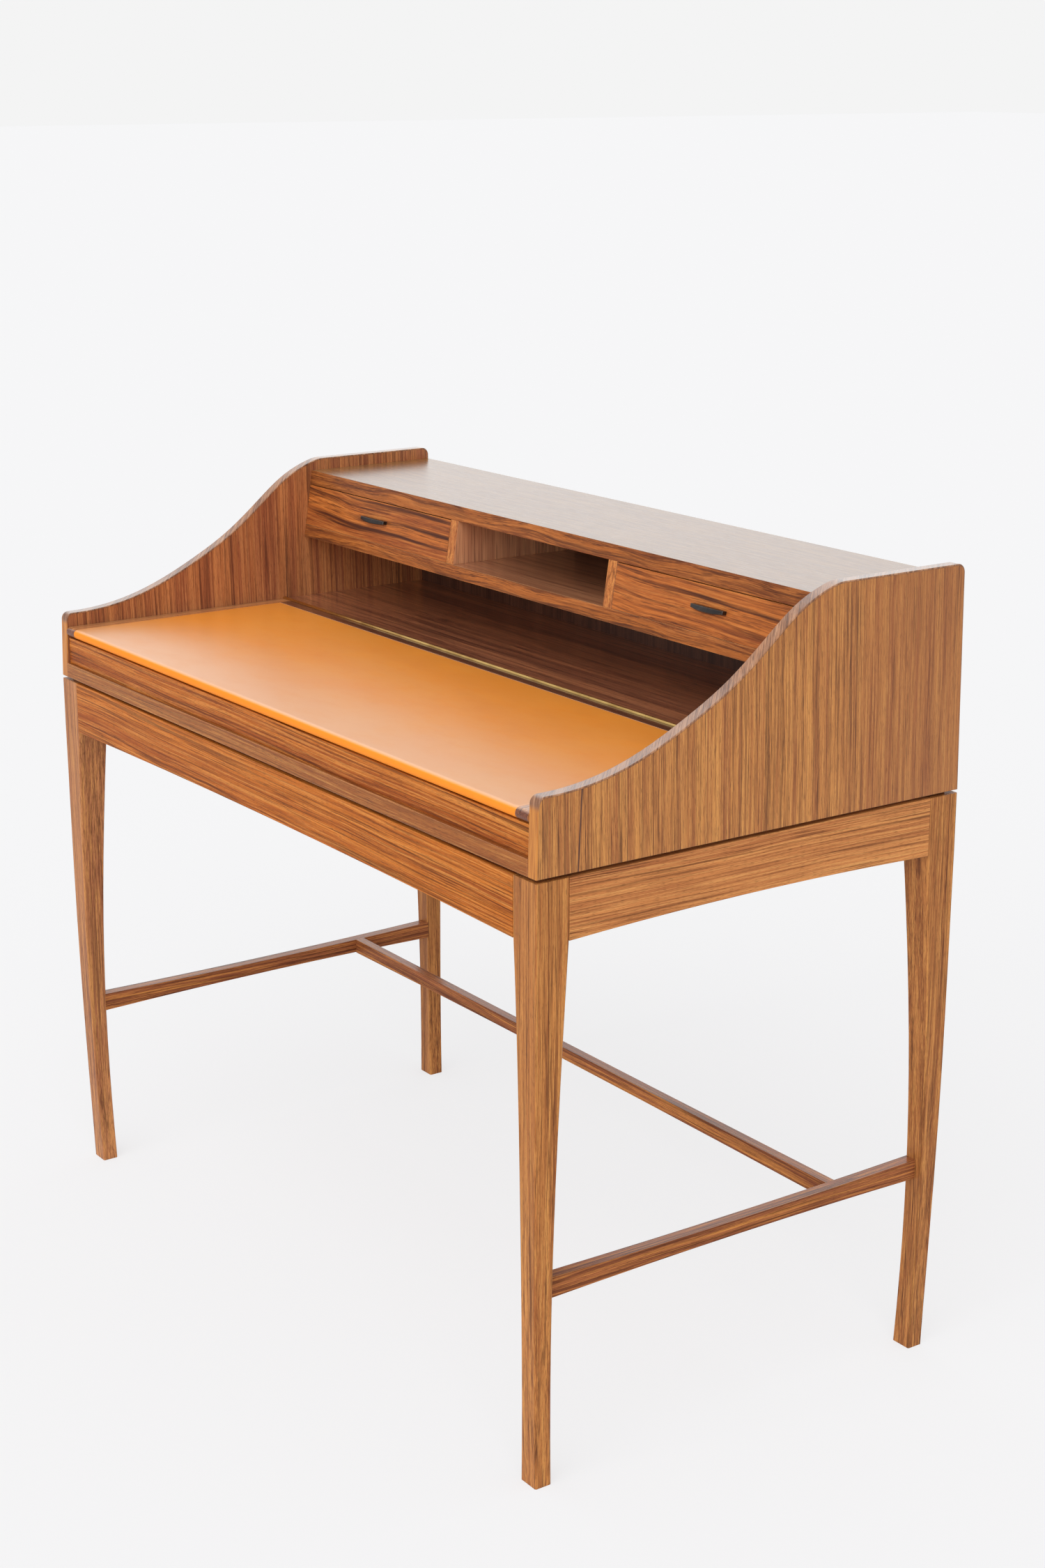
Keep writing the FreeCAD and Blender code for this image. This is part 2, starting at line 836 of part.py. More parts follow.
def drawer_front_blank():
    low = [at_yz(raked(drawer_floor), drawer_floor), at_yz(shoulder_at(drawer_floor), drawer_floor)]
    high = [at_yz(shoulder_at(drawer_top), drawer_top), at_yz(raked(drawer_top), drawer_top)]
    return along_x(closed(low + high), drawer_inner, drawer_outer)


def shoulder_at(level):
    return raked(level) + drawer_front_thickness


def tails(low, high, gap):
    # dovetail tails of one drawer side, wider at the tip
    pitch = drawer_side_height / tail_count
    shapes = []
    for i in range(tail_count):
        middle = drawer_floor + pitch * (i + 1 / 2)
        root = pitch * tail_root_share / 2 + gap
        tip = pitch * tail_tip_share / 2 + gap
        reach = tail_length + gap
        outline = closed([
            at_yz(shoulder_at(middle - root) + gap, middle - root),
            at_yz(shoulder_at(middle - tip) - reach, middle - tip),
            at_yz(shoulder_at(middle + tip) - reach, middle + tip),
            at_yz(shoulder_at(middle + root) + gap, middle + root),
        ])
        shapes.append(along_x(outline, low, high))
    return shapes


def drawer_bottom_board(gap):
    low = drawer_floor + drawer_bottom_rise
    high = low + drawer_bottom_thickness
    inner = drawer_inner + drawer_wall - drawer_groove_depth
    outer = drawer_outer - drawer_wall + drawer_groove_depth
    front = shoulder_at(low) - drawer_groove_depth
    rear = drawer_rear - drawer_back_overhang
    return block([inner - gap, front - gap, low - gap], [outer + gap, rear + gap, high + gap])


def pull_places():
    middle = (drawer_inner + drawer_outer) / 2
    half = pull_screw_spacing / 2
    return middle, [middle - half, middle + half]


def pull_frame():
    # origin on the raked front behind the pull's middle, turned with the rake
    level = drawer_floor + pull_rise
    turn = FreeCAD.Rotation(FreeCAD.Vector(1, 0, 0), -gallery_rake_degrees)
    return FreeCAD.Placement(FreeCAD.Vector(pull_places()[0], raked(level), level), turn)


def pull_screw(offset, gap):
    # from inside the drawer: head on the front's inner face, shank into the pull
    depth = drawer_front_thickness * math.cos(math.radians(gallery_rake_degrees))
    seat = FreeCAD.Vector(offset, depth, 0)
    out = FreeCAD.Vector(0, -1, 0)
    shape = shank(pull_screw_radius + gap, depth + pull_screw_grip + gap, seat, out)
    if not gap:
        shape = shape.fuse(shank(pull_screw_head_radius, pull_screw_head_height, seat, -out)).removeSplitter()
    shape.Placement = pull_frame()
    return shape


def pull_screw_offsets():
    middle, places = pull_places()
    return [x - middle for x in places]


def drawer_front():
    shape = drawer_front_blank()
    inner_end = drawer_inner + drawer_wall
    outer_end = drawer_outer - drawer_wall
    shape = shape.cut(tails(drawer_inner - overrun, inner_end + fit_gap, fit_gap))
    shape = shape.cut(tails(outer_end - fit_gap, drawer_outer + overrun, fit_gap))
    shape = shape.cut(drawer_bottom_board(fit_gap))
    return shape.cut([pull_screw(x, fit_gap) for x in pull_screw_offsets()])


def drawer_back_box():
    rear = drawer_rear - drawer_back_overhang
    low = drawer_floor + drawer_bottom_rise + drawer_bottom_thickness
    high = drawer_floor + drawer_side_height - drawer_back_drop
    inner = drawer_inner + drawer_wall - drawer_groove_depth
    outer = drawer_outer - drawer_wall + drawer_groove_depth
    return [inner, rear - drawer_wall, low], [outer, rear, high]


def drawer_side(low, high):
    top = drawer_floor + drawer_side_height
    outline = closed([at_yz(shoulder_at(drawer_floor), drawer_floor), at_yz(drawer_rear, drawer_floor),
                      at_yz(drawer_rear, top), at_yz(shoulder_at(top), top)])
    shape = along_x(outline, low, high).fuse(tails(low, high, 0)).removeSplitter()
    return shape.cut([drawer_bottom_board(fit_gap), block(*grown(*drawer_back_box(), fit_gap))])


def drawer_inner_side():
    return drawer_side(drawer_inner, drawer_inner + drawer_wall)


def drawer_outer_side():
    return drawer_side(drawer_outer - drawer_wall, drawer_outer)


def drawer_back():
    return block(*drawer_back_box())


def drawer_bottom():
    return drawer_bottom_board(0)


def drawer_pull():
    # straight above, bellied below, bowed in front, its front arrises taken off
    half = pull_length / 2
    top = pull_end_height / 2
    seen = [
        line(at_xz(-half, top), at_xz(half, top)),
        line(at_xz(half, top), at_xz(half, top - pull_end_height)),
        arc(at_xz(half, top - pull_end_height), at_xz(0, top - pull_mid_height),
            at_xz(-half, top - pull_end_height)),
        line(at_xz(-half, top - pull_end_height), at_xz(-half, top)),
    ]
    flat = FreeCAD.Vector
    plan = [
        line(flat(-half, 0, 0), flat(half, 0, 0)),
        line(flat(half, 0, 0), flat(half, -pull_end_depth, 0)),
        arc(flat(half, -pull_end_depth, 0), flat(0, -pull_mid_depth, 0), flat(-half, -pull_end_depth, 0)),
        line(flat(-half, -pull_end_depth, 0), flat(-half, 0, 0)),
    ]
    bar = Part.Face(Part.Wire(plan))
    bar.translate(flat(0, 0, -pull_mid_height))
    bar = bar.extrude(flat(0, 0, pull_mid_height * 2))
    bar = bar.common(along_y(seen, -pull_mid_depth - overrun, 0))
    touching = pull_arris / 2
    front = [e for e in bar.Edges if e.BoundBox.YMin < -touching and e.BoundBox.YMax < -touching]
    bar = bar.makeChamfer(pull_arris, front)
    bar.Placement = pull_frame()
    return bar.cut([pull_screw(x, fit_gap) for x in pull_screw_offsets()])


def drawer_pull_screws():
    return Part.makeCompound([pull_screw(x, 0) for x in pull_screw_offsets()])


def pieces():
    right_leg = leg()
    across = apron_across()
    along = apron_along()
    stretcher = side_stretcher()
    gap_across = batten_across()
    gap_along = batten_along()
    drawer = {
        "front": drawer_front(),
        "inner_side": drawer_inner_side(),
        "outer_side": drawer_outer_side(),
        "back": drawer_back(),
        "bottom": drawer_bottom(),
        "pull": drawer_pull(),
        "pull_screws": drawer_pull_screws(),
    }
    made = {
        "leg_back_right": right_leg,
        "leg_back_left": mirrored_x(right_leg),
        "leg_front_right": mirrored_y(right_leg),
        "leg_front_left": mirrored_x(mirrored_y(right_leg)),
        "apron_back": across,
        "apron_front": mirrored_y(across),
        "apron_right": along,
        "apron_left": mirrored_x(along),
        "stretcher_right": stretcher,
        "stretcher_left": mirrored_x(stretcher),
        "stretcher_long": long_stretcher(),
        "batten_back": gap_across,
        "batten_front": mirrored_y(gap_across),
        "batten_right": gap_along,
        "batten_left": mirrored_x(gap_along),
        "case_screws": case_screws(),
        "case_bottom": case_bottom(),
        "front_board": front_board(),
        "rear_desk": rear_desk(),
        "back_panel": back_panel(),
        "gallery_shelf": gallery_shelf(),
        "gallery_top": gallery_top(),
        "lid_core": lid_core(),
        "lid_leather": lid_leather(),
        "lid_rear_rail": lid_rear_rail(),
        "hinge_leaf_fixed": hinge_leaf(0, 1, pin_fit),
        "hinge_leaf_lid": hinge_leaf(1, -1, pin_play),
        "hinge_pin": hinge_pin(),
        "hinge_screws_fixed": hinge_screws(0, 1),
        "hinge_screws_lid": hinge_screws(1, -1),
    }
    right_hand = {
        "side_panel": side_panel(),
        "side_band": side_band(),
        "lid_rest": lid_rest(),
        "divider": divider(),
        "lid_end": lid_end(),
    }
    for name, shape in right_hand.items():
        made[name + "_right"], made[name + "_left"] = both_sides(shape)
    for name, shape in drawer.items():
        made["drawer_right_" + name], made["drawer_left_" + name] = both_sides(shape)
    return made


for node, solid in pieces().items():
    solid.exportStep("parts/" + node + ".step")
    print(node, len(solid.Solids), round(solid.Volume), solid.isValid())
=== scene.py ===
import math
import bpy
import numpy as np
from mathutils import Matrix, Vector


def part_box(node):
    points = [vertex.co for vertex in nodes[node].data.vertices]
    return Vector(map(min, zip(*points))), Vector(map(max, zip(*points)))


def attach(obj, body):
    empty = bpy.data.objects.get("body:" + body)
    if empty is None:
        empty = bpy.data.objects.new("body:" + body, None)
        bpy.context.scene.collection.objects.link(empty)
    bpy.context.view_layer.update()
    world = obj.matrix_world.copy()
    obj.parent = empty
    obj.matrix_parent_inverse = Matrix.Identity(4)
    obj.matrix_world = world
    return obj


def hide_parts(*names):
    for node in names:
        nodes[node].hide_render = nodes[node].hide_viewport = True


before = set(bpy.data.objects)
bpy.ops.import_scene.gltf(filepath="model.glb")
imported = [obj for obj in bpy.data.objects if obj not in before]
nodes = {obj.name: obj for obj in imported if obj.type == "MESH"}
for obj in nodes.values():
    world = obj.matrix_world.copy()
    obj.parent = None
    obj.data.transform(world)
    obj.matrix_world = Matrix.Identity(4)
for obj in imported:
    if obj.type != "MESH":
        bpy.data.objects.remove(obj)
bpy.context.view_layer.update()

print("frame:", len(nodes), "nodes")


def tint(red, green, blue):  # a colour as it is seen on a screen, 0-255, turned into light by the sRGB curve
    seen = np.array([red, green, blue]) / 255
    light = np.where(seen <= 0.04045, seen / 12.92, ((seen + 0.055) / 1.055) ** 2.4)
    return (*(float(part) for part in light), 1.0)


class Wire:  # one socket of a node tree, with the sums that shader maths needs
    def __init__(self, tree, socket=None):
        self.tree = tree
        self.socket = socket

    def add(self, kind, settings=None, sockets=None, out=0):  # any node: settings first, then its sockets
        node = self.tree.nodes.new("ShaderNode" + kind)
        for key, value in (settings or {}).items():
            setattr(node, key, value)
        for key, value in (sockets or {}).items():
            if isinstance(value, Wire):
                self.tree.links.new(value.socket, node.inputs[key])
            else:
                node.inputs[key].default_value = value
        return Wire(self.tree, node.outputs[out])

    def sum(self, how, first, second):
        return self.add("Math", {"operation": how}, {0: first, 1: second})

    def __add__(self, other):
        return self.sum("ADD", self, other)

    def __radd__(self, other):
        return self.sum("ADD", other, self)

    def __sub__(self, other):
        return self.sum("SUBTRACT", self, other)

    def __rsub__(self, other):
        return self.sum("SUBTRACT", other, self)

    def __mul__(self, other):
        return self.sum("MULTIPLY", self, other)

    def __rmul__(self, other):
        return self.sum("MULTIPLY", other, self)

    def size(self):
        return self.add("Math", {"operation": "ABSOLUTE"}, {0: self})

    def most(self, other):
        return self.sum("MAXIMUM", self, other)

    def step(self, start, full):  # 0 before start, 1 past full, smooth between; start may be the larger one
        return self.add("MapRange", {"interpolation_type": "SMOOTHSTEP"}, {0: self, 1: start, 2: full})

    def over(self, under, top, how="MIX"):  # this mask lays the top colour over the one under it
        return self.add("Mix", {"data_type": "RGBA", "blend_type": how}, {0: self, 6: under, 7: top}, 2)

    def noise(self, scale, detail=2.0, roughness=0.5):
        settings = {"Vector": self, "Scale": scale, "Detail": detail, "Roughness": roughness}
        return self.add("TexNoise", {}, settings)

    def split(self):
        node = self.add("SeparateXYZ", {}, {0: self}).socket.node
        return [Wire(self.tree, out) for out in node.outputs]

    def point(self, x, y, z):
        return self.add("CombineXYZ", {}, {0: x, 1: y, 2: z})


def newFinish(name):  # an empty material, its tree and its Principled shader
    material = bpy.data.materials.new(name)
    material.use_nodes = True
    shader = material.node_tree.nodes["Principled BSDF"]
    return material, Wire(material.node_tree), shader


def feed(wire, shader, **sockets):  # what changes over the surface; Base_Color stands for Base Color
    for key, value in sockets.items():
        wire.tree.links.new(value.socket, shader.inputs[key.replace("_", " ")])


def fix(shader, **sockets):  # what is the same all over
    for key, value in sockets.items():
        shader.inputs[key.replace("_", " ")].default_value = value


def facing(wire):  # x, y and z of the way that the surface faces
    return wire.add("NewGeometry", {}, {}, "True Normal").split()


def dress(name, finish):  # a CAD node gets its one finish
    nodes[name].data.materials.clear()
    nodes[name].data.materials.append(finish)


edgeMaskSettings = {"samples": 4, "shows": (0.02, 0.22)}


def arris(wire, reach):  # rounded normal at the edges, and a mask of the edges; the finishes lay an edge tone there, mostly a painted highlight along the arris with some wear
    rounded = wire.add("Bevel", {"samples": edgeMaskSettings["samples"]}, {"Radius": reach})
    flat = wire.add("NewGeometry", {}, {}, "True Normal")
    dot = wire.add("VectorMath", {"operation": "DOT_PRODUCT"}, {0: rounded, 1: flat}, "Value")
    return rounded, (1 - dot).step(*edgeMaskSettings["shows"])


lacquered = {  # what every board shares; a board's own look says what differs
    "gold": tint(190, 126, 62), "red": tint(152, 90, 48),
    "dark": tint(70, 38, 24), "pale": tint(212, 152, 84),
    "band": 60.0, "stripe": 330.0, "line": 1000.0, "pore": 2300.0,   # how many in a metre across the grain
    "slip": 0.009,        # how far they are drawn out along the grain
    "fineSlip": 1.3,      # how much shorter the fine lines are
    "poreSlip": 0.05,     # pores are shorter still
    "wave": 0.004,        # how far the grain wanders, in metres
    "waveRun": 3.0,       # wanderings in a metre along the grain
    "waveWide": 6.0,      # and across it
    "lean": 0.0,          # how far the grain leans from the board's length
    "tilt": 0.0,          # how far its layers tilt through the board's thickness
    "through": 1.0,       # how fast they change through the thickness
    "ripple": 0.0006,     # small tremble of the lines, in metres
    "rippleRun": 26.0,    # trembles in a metre along the grain
    "rippleWide": 90.0,   # and across it
    "stripes": 0.45, "lines": 0.62, "threads": 0.40,                 # how strong each layer is
    "veins": 0.45, "pores": 0.45, "figure": 0.0,
    "alone": 0.25,        # share of its strength that a dark line keeps where it stands alone
    "edge": 0.30, "round": 0.0009,                                   # a lighter edge tone, partly wear and partly a painted highlight, and the edges' radius
    "gloss": 0.32, "glossPlay": 0.16, "bend": 1.30,                  # the oiled wood
    "relief": 0.10, "reliefDeep": 0.0004, "lineDeep": 0.5,
    "coat": 0.0, "coatGloss": 0.18, "coatBend": 1.8, "coatFrom": 0.2, "coatFull": 0.6,    # the polish on top
    "dull": 0.12,         # how far the grain shows in the polish
}
grainLayers = {  # what a layer is counted by, its share of that, and its noise's detail and roughness
    "band": ("band", 1.0, 3.0, 0.6), "stripe": ("stripe", 1.0, 2.0, 0.6), "fine": ("line", 1.0, 2.0, 0.7),
    "crowd": ("band", 1.9, 2.0, 0.6), "vein": ("band", 0.8, 2.0, 0.6), "cluster": ("band", 1.3, 3.0, 0.62),
    "pore": ("pore", 1.0, 1.0, 0.5),
}
layerShows = {  # the value of the noise at which a layer starts, and at which it is full
    "gold": (0.36, 0.64), "paleStripe": (0.50, 0.66), "darkStripe": (0.48, 0.32), "thread": (0.53, 0.66),
    "line": (0.49, 0.37), "crowd": (0.62, 0.36), "vein": (0.018, 0.003), "cluster": (0.50, 0.38),
    "pore": (0.56, 0.68), "dull": (0.45, 0.65),
}


def layer(lane, wood, kind):  # the noise of one layer of grain
    count, share, detail, roughness = grainLayers[kind]
    return lane.noise(wood[count] * share, detail, roughness)


def woodFinish(name, look, grain, shift, extra=None):
    # every layer is noise drawn out along the grain: f(across + lean * along + wave, depth, slip * along)
    wood = dict(lacquered, **look)
    material, wire, shader = newFinish(name)
    place = wire.add("TexCoord", {}, {}, "Object")
    moved = wire.add("VectorMath", {"operation": "ADD"}, {0: place, 1: shift})
    x, y, z = moved.split()
    along, across, deep = {"x": (x, z, y), "y": (y, z, x), "z": (z, y, x)}[grain]
    slow, quick = wood["waveWide"], wood["rippleWide"]
    wander = wire.point(across * slow, deep * slow, along * wood["waveRun"]).noise(1.0, 1.5)
    ripple = wire.point(across * quick, deep * quick, along * wood["rippleRun"]).noise(1.0, 1.5)
    bent = across + along * wood["lean"] + deep * wood["tilt"]
    bent = bent + (wander - 0.5) * (wood["wave"] * 2) + (ripple - 0.5) * wood["ripple"]
    deep = deep * wood["through"]
    lane = wire.point(bent, deep, along * wood["slip"])
    fineLane = wire.point(bent, deep, along * (wood["slip"] * wood["fineSlip"]))
    poreLane = wire.point(bent, deep, along * wood["poreSlip"])
    stripe = layer(lane, wood, "stripe")
    fine = layer(fineLane, wood, "fine")
    crowd = layer(lane, wood, "crowd").step(*layerShows["crowd"])    # where the dark lines stand close
    vein = (layer(lane, wood, "vein") - 0.5).size().step(*layerShows["vein"])
    cluster = layer(lane, wood, "cluster").step(*layerShows["cluster"])
    pore = layer(poreLane, wood, "pore").step(*layerShows["pore"])
    line = fine.step(*layerShows["line"]) * (crowd * (1 - wood["alone"]) + wood["alone"])
    colour = layer(lane, wood, "band").step(*layerShows["gold"]).over(wood["red"], wood["gold"])
    colour = (stripe.step(*layerShows["paleStripe"]) * wood["stripes"]).over(colour, wood["pale"])
    colour = (stripe.step(*layerShows["darkStripe"]) * wood["stripes"]).over(colour, wood["dark"])
    colour = (fine.step(*layerShows["thread"]) * wood["threads"]).over(colour, wood["pale"])
    for mask, strength in ((line, "lines"), (vein, "veins"), (cluster, "figure"), (pore, "pores")):
        colour = (mask * wood[strength]).over(colour, wood["dark"])
    if extra:
        colour = extra(wire, place, colour, wood)
    rounded, edgeTone = arris(wire, wood["round"])
    # painted highlight: the edges take the pale or rim colour, partly as wear; a dark rim paints a dark edge
    # line instead
    colour = (edgeTone * wood["edge"]).over(colour, wood.get("rim", wood["pale"]))
    height = (1 - pore) + fine * wood["lineDeep"]
    relief = wire.add("Bump", {}, {"Strength": wood["relief"], "Distance": wood["reliefDeep"],
                                   "Height": height, "Normal": rounded})
    roughness = wood["gloss"] + (fine - 0.5) * wood["glossPlay"]
    feed(wire, shader, Base_Color=colour, Roughness=roughness, Normal=relief)
    fix(shader, IOR=wood["bend"], Coat_Roughness=wood["coatGloss"], Coat_IOR=wood["coatBend"])
    if wood["coat"]:    # the upper faces are polished, the rest is oiled
        upward = facing(wire)[2].step(wood["coatFrom"], wood["coatFull"])
        clear = 1 - fine.step(*layerShows["dull"]) * wood["dull"]
        feed(wire, shader, Coat_Weight=upward * clear * wood["coat"])
    return material


seam = {
    "place": -0.2277, "lean": 0.055, "level": 0.7118, "line": (0.00135, 0.00045), "strength": 0.85,
    "face": (0.520, 0.521), "colour": tint(70, 46, 44),
    "leaf": tint(140, 86, 56), "leafShows": (0.02, 0.27), "leafStrength": 0.42,
}


def veneerSeam(wire, place, colour, wood):
    # one dark line between two leaves of veneer, on the outer face alone, and a redder leaf towards the back
    x, y, z = place.split()
    line = (y - (z - seam["level"]) * seam["lean"] - seam["place"]).size().step(*seam["line"])
    colour = (y.step(*seam["leafShows"]) * seam["leafStrength"]).over(colour, seam["leaf"])
    return (line * x.step(*seam["face"]) * seam["strength"]).over(colour, seam["colour"])


frontEdge = {
    "front": (-0.2755, -0.2775), "below": (0.744, 0.736),
    "gold": tint(198, 130, 60), "red": tint(170, 104, 48),
    "slip": 0.03, "lines": 420.0, "goldShows": (0.38, 0.62), "darkShows": (0.42, 0.30), "darkStrength": 0.5,
}


def uprightEdge(wire, place, colour, wood):  # the front end of the side's lipping shows its long grain
    x, y, z = place.split()
    mask = y.step(*frontEdge["front"]) * z.step(*frontEdge["below"])
    grain = wire.point(x, y, z * frontEdge["slip"]).noise(frontEdge["lines"], 3.0, 0.6)
    long = grain.step(*frontEdge["goldShows"]).over(frontEdge["red"], frontEdge["gold"])
    long = (grain.step(*frontEdge["darkShows"]) * frontEdge["darkStrength"]).over(long, wood["dark"])
    return mask.over(colour, long)


calm = {  # a sheet of veneer; face and grain are axes, 0 to 2, and outer leaves out the face on the far side
    "gold": tint(150, 108, 60), "red": tint(128, 88, 50), "dark": tint(86, 54, 38),
    "fine": 1200.0, "slip": 0.05, "face": 2, "grain": 0, "outer": False, "broad": (0.6, 0.9),
    "streak": 0.2, "streakShows": (0.36, 0.64), "lineShows": (0.48, 0.34), "lineStrength": 0.5,
}
dusky = dict(calm, gold=tint(198, 137, 99), red=tint(162, 106, 76), dark=tint(88, 56, 44),
             fine=420.0, slip=0.03)
upright = dict(calm, gold=tint(206, 146, 106), red=tint(178, 120, 88), dark=tint(88, 58, 46),
               fine=800.0, slip=0.02, face=0, grain=2)
rearward = dict(upright, gold=tint(184, 122, 66), red=tint(154, 94, 54), dark=tint(84, 52, 36),
                fine=900.0, face=1, outer=True)


def veneered(sheet):  # the broad faces have a quieter sheet of veneer than the solid front edge
    def lay(wire, place, colour, wood):
        spot = place.split()
        spot[sheet["grain"]] = spot[sheet["grain"]] * sheet["slip"]
        lane = wire.point(*spot)
        way = facing(wire)[sheet["face"]]
        broad = (way if sheet["outer"] else way.size()).step(*sheet["broad"])
        streak = lane.noise(sheet["fine"] * sheet["streak"], 3.0, 0.6).step(*sheet["streakShows"])
        line = lane.noise(sheet["fine"], 2.0, 0.6).step(*sheet["lineShows"])
        grain = streak.over(sheet["red"], sheet["gold"])
        grain = (line * sheet["lineStrength"]).over(grain, sheet["dark"])
        return broad.over(colour, grain)
    return lay


noseEnd = {"soaked": tint(154, 140, 166), "shows": (-0.3, -0.8)}


def endGrain(wire, place, colour, wood):  # the lid's ends are cut across the grain at the nose, and drink oil
    return facing(wire)[1].step(*noseEnd["shows"]).over(colour, noseEnd["soaked"], "MULTIPLY")


# the side panels' dark rim paints a dark line along their edges: a dark joint at the band, and painted shade
# at the bottom edge over the shadow gap
panelLook = {"gold": tint(192, 128, 68), "red": tint(160, 97, 54), "rim": tint(84, 52, 38),
             "edge": 0.6, "lean": 0.02, "band": 90.0, "line": 1300.0,
             "stripes": 0.38, "veins": 0.35, "threads": 0.6, "lines": 0.78}
sideLook = {"gold": tint(186, 118, 70), "red": tint(150, 86, 56), "dark": tint(78, 44, 34),
            "pale": tint(202, 138, 88), "rim": tint(84, 52, 38),
            "lean": 0.02, "band": 90.0, "stripes": 0.4, "lines": 0.7}
# painted shade: the back panel's inner face is a much darker copy of the wood, for the shade under the
# gallery; its outer face takes the rearward sheet
shadedBackLook = {"gold": tint(92, 58, 43), "red": tint(73, 45, 35), "dark": tint(42, 27, 23),
            "pale": tint(106, 70, 52)}
legLook = {"gold": tint(192, 126, 68), "red": tint(160, 96, 52),
           "bend": 1.2, "wave": 0.002, "ripple": 0.0003, "band": 110.0, "line": 1300.0,
           "stripes": 0.4, "threads": 0.55, "lines": 0.75}
# lit and shaded copies of the leg wood: the front-left leg is paler and bluer, painted light; the back legs
# are darker, painted shade
paleLitLegLook = dict(legLook, gold=tint(188, 126, 82), red=tint(158, 99, 66))
shadedBackLegLook = dict(legLook, gold=tint(178, 115, 64), red=tint(148, 89, 50))
railLook = {"gold": tint(188, 105, 38), "red": tint(152, 76, 30), "dark": tint(62, 31, 16),
            "pale": tint(212, 142, 72), "bend": 1.14, "wave": 0.005, "lean": 0.01,
            "lines": 0.72, "threads": 0.5, "stripes": 0.5}
sideRailLook = dict(railLook, gold=tint(200, 130, 74), red=tint(168, 101, 58), pale=tint(216, 156, 92),
                    lines=0.6, bend=1.2)
barLook = dict(railLook, gold=tint(160, 96, 60), red=tint(126, 71, 47), band=90.0, coat=0.6)
boardLook = dict(railLook, stripes=0.6, lines=0.75)
# the sill's pale rim paints a highlight line along its top arris
sillLook = {"gold": tint(170, 106, 52), "red": tint(146, 84, 42), "rim": tint(222, 164, 124),
            "edge": 0.75, "round": 0.0012, "bend": 1.2, "stripes": 0.3, "lines": 0.4}
deskLook = {"gold": tint(194, 124, 84), "red": tint(142, 86, 62), "dark": tint(66, 39, 33),
            "pale": tint(202, 134, 94), "wave": 0.010, "figure": 0.35,
            "coat": 1.0, "coatGloss": 0.10, "coatBend": 2.4}
figureLook = {"gold": tint(184, 107, 50), "red": tint(148, 81, 42), "dark": tint(62, 32, 25),
              "pale": tint(204, 132, 68), "bend": 1.2, "band": 56.0, "slip": 0.022, "wave": 0.014,
              "waveRun": 4.0, "lean": 0.05, "ripple": 0.0008, "figure": 0.9, "lines": 0.72, "pores": 0.2}
edgeLook = {"gold": tint(166, 98, 46), "red": tint(126, 70, 38), "dark": tint(70, 38, 26),
            "pale": tint(186, 118, 62), "bend": 1.2, "band": 70.0, "slip": 0.03, "wave": 0.010,
            "waveRun": 6.0, "figure": 0.55, "pores": 0.25, "lines": 0.8, "threads": 0.5,
            "stripes": 0.55, "edge": 0.5}
topLook = dict(edgeLook, gloss=0.30, coat=1.0, coatGloss=0.22, coatBend=2.4)
# the shelf's pale rim paints a highlight line along its front top arris
shelfLook = dict(edgeLook, rim=tint(222, 168, 116), edge=0.7, coat=1.0, coatGloss=0.10, coatBend=2.4)
postLook = {"gold": tint(194, 122, 66), "red": tint(166, 98, 56), "bend": 1.2, "wave": 0.006, "lean": 0.08}
bandLook = {"gold": tint(172, 121, 86), "red": tint(134, 92, 68), "dark": tint(70, 44, 36),
            "pale": tint(188, 144, 112), "wave": 0.002, "tilt": 1.0, "through": 0.1,
            "veins": 0.2, "stripes": 0.6, "lines": 0.7, "pores": 0.1,
            "coat": 1.0, "coatGloss": 0.12, "coatBend": 2.2, "coatFrom": 0.72, "coatFull": 1.0}
darkLook = {"gold": tint(132, 86, 64), "red": tint(106, 66, 52), "dark": tint(56, 34, 30),
            "pale": tint(156, 110, 88), "wave": 0.003, "coat": 0.5}
lidLook = dict(darkLook, gold=tint(114, 70, 50), red=tint(92, 56, 42), pale=tint(138, 92, 68),
               coat=0.9, coatGloss=0.08, coatBend=2.2)
capLook = dict(lidLook, gold=tint(210, 144, 90), red=tint(190, 122, 76), pale=tint(220, 160, 106),
               coatFrom=0.5, coatFull=0.95)
boxLook = {"gold": tint(214, 174, 124), "red": tint(200, 156, 106), "dark": tint(150, 108, 66),
           "pale": tint(226, 192, 146), "veins": 0.15, "lines": 0.25, "stripes": 0.3}

